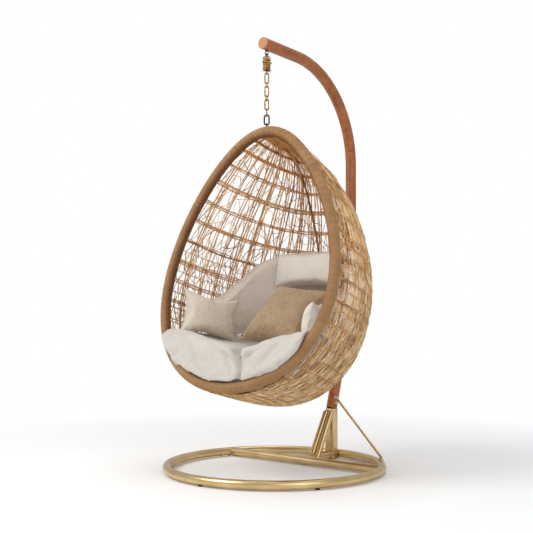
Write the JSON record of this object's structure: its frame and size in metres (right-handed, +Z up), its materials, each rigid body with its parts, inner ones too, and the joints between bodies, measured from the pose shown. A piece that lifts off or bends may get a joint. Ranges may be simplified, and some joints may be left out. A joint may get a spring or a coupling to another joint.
{
  "type": "hanging egg chair",
  "caption": "Woven egg-shaped basket seat with cushions, hung by a swivel and chain from a bent wood post on a ring base.",
  "frame": {"origin": "on the floor, at the centre of the object's bounding box", "axes": "+Z up, the chair faces -Y, +Y is the rear where the post stands, +X is the side of the stay"},
  "size_m": [1, 1.1328, 1.9311],
  "materials": {
    "gold_paint": "satin",
    "plated_steel": "satin",
    "aged_brass": "satin",
    "dark_steel": "satin",
    "glide_rubber": "matte",
    "stained_wood": "satin",
    "jute": "matte",
    "rattan_binding": "satin",
    "straw_weave": "matte",
    "rattan_cane": "satin",
    "cream_fabric": "matte",
    "taupe_fabric": "matte",
    "oat_fabric": "matte",
    "tan_fabric": "matte",
    "grey_fabric": "matte"
  },
  "bodies": {
    "stand": {"base_front_arc": "gold_paint", "base_rear_arc": "gold_paint", "ring_spigots": "plated_steel", "ring_joint_bolts": "plated_steel", "floor_glides": "glide_rubber", "cross_bar": "gold_paint", "rear_spine": "gold_paint", "post_socket": "gold_paint", "front_strut_left": "gold_paint", "front_strut_right": "gold_paint", "tenon_inserts": "plated_steel", "socket_screws": "plated_steel", "arm_insert": "plated_steel", "stay_upper_lug": "gold_paint", "lug_screws": "plated_steel", "bent_post": "stained_wood", "stay_lower_clip": "gold_paint", "side_stay": "gold_paint", "stay_pins": "plated_steel", "eye_bolt": "dark_steel"},
    "swivel_shaft": {"swivel_eye": "dark_steel", "thrust_washer": "plated_steel", "swivel_nut": "plated_steel"},
    "swivel_body": {"swivel_barrel": "dark_steel", "swivel_cap_eye": "aged_brass", "jute_wrap": "jute"},
    "link_1": {"chain_link_1": "aged_brass"},
    "link_2": {"chain_link_2": "aged_brass"},
    "link_3": {"chain_link_3": "aged_brass"},
    "link_4": {"chain_link_4": "aged_brass"},
    "link_5": {"chain_link_5": "aged_brass"},
    "link_6": {"chain_link_6": "aged_brass"},
    "big_link": {"big_link": "dark_steel"},
    "basket": {"back_cushion": "taupe_fabric", "basket_eye": "dark_steel", "head_pillow": "oat_fabric", "hoop_1": "rattan_cane", "hoop_2": "rattan_cane", "hoop_3": "rattan_cane", "hoop_4": "rattan_cane", "hoop_5": "rattan_cane", "hoop_6": "rattan_cane", "hoop_7": "rattan_cane", "left_pillow": "oat_fabric", "rib_left_back": "rattan_cane", "rib_left_side": "rattan_cane", "rib_middle": "rattan_cane", "rib_right_back": "rattan_cane", "rib_right_side": "rattan_cane", "right_pillow": "grey_fabric", "rim_tube": "dark_steel", "rim_wrap": "rattan_binding", "seat_cushion": "cream_fabric", "tan_pillow": "tan_fabric", "weave_shell": "straw_weave"}
  },
  "joints": [
    {"name": "chair_swing", "type": "hinge", "parent": "stand", "child": "swivel_shaft", "pos_m": [0, -0.1215, 1.85655], "axis": [1, 0, 0], "range_deg": [-10, 3]},
    {"name": "swivel_turn", "type": "hinge", "parent": "swivel_shaft", "child": "swivel_body", "pos_m": [0, -0.1215, 1.8159], "axis": [0, 0, 1], "continuous": true},
    {"name": "link_1_hinge", "type": "hinge", "parent": "swivel_body", "child": "link_1", "pos_m": [0, -0.1215, 1.77085], "axis": [0.6293, -0.7771, 0], "range_deg": [-6, 2]},
    {"name": "link_2_hinge", "type": "hinge", "parent": "link_1", "child": "link_2", "pos_m": [0, -0.1215, 1.72865], "axis": [0.7771, 0.6293, 0], "range_deg": [-6, 2]},
    {"name": "link_3_hinge", "type": "hinge", "parent": "link_2", "child": "link_3", "pos_m": [0, -0.1215, 1.71185], "axis": [0.6293, -0.7771, 0], "range_deg": [-6, 2]},
    {"name": "link_4_hinge", "type": "hinge", "parent": "link_3", "child": "link_4", "pos_m": [0, -0.1215, 1.67015], "axis": [0.7771, 0.6293, 0], "range_deg": [-6, 2]},
    {"name": "link_5_hinge", "type": "hinge", "parent": "link_4", "child": "link_5", "pos_m": [0, -0.1215, 1.65335], "axis": [0.6293, -0.7771, 0], "range_deg": [-6, 2]},
    {"name": "link_6_hinge", "type": "hinge", "parent": "link_5", "child": "link_6", "pos_m": [0, -0.1215, 1.61165], "axis": [0.7771, 0.6293, 0], "range_deg": [-6, 2]},
    {"name": "big_link_hinge", "type": "hinge", "parent": "link_6", "child": "big_link", "pos_m": [0, -0.1215, 1.58335], "axis": [-0.6293, 0.7771, 0], "range_deg": [-2, 6]},
    {"name": "basket_hinge", "type": "hinge", "parent": "big_link", "child": "basket", "pos_m": [0, -0.1215, 1.54515], "axis": [-0.7771, -0.6293, 0], "range_deg": [-2, 6]}
  ]
}
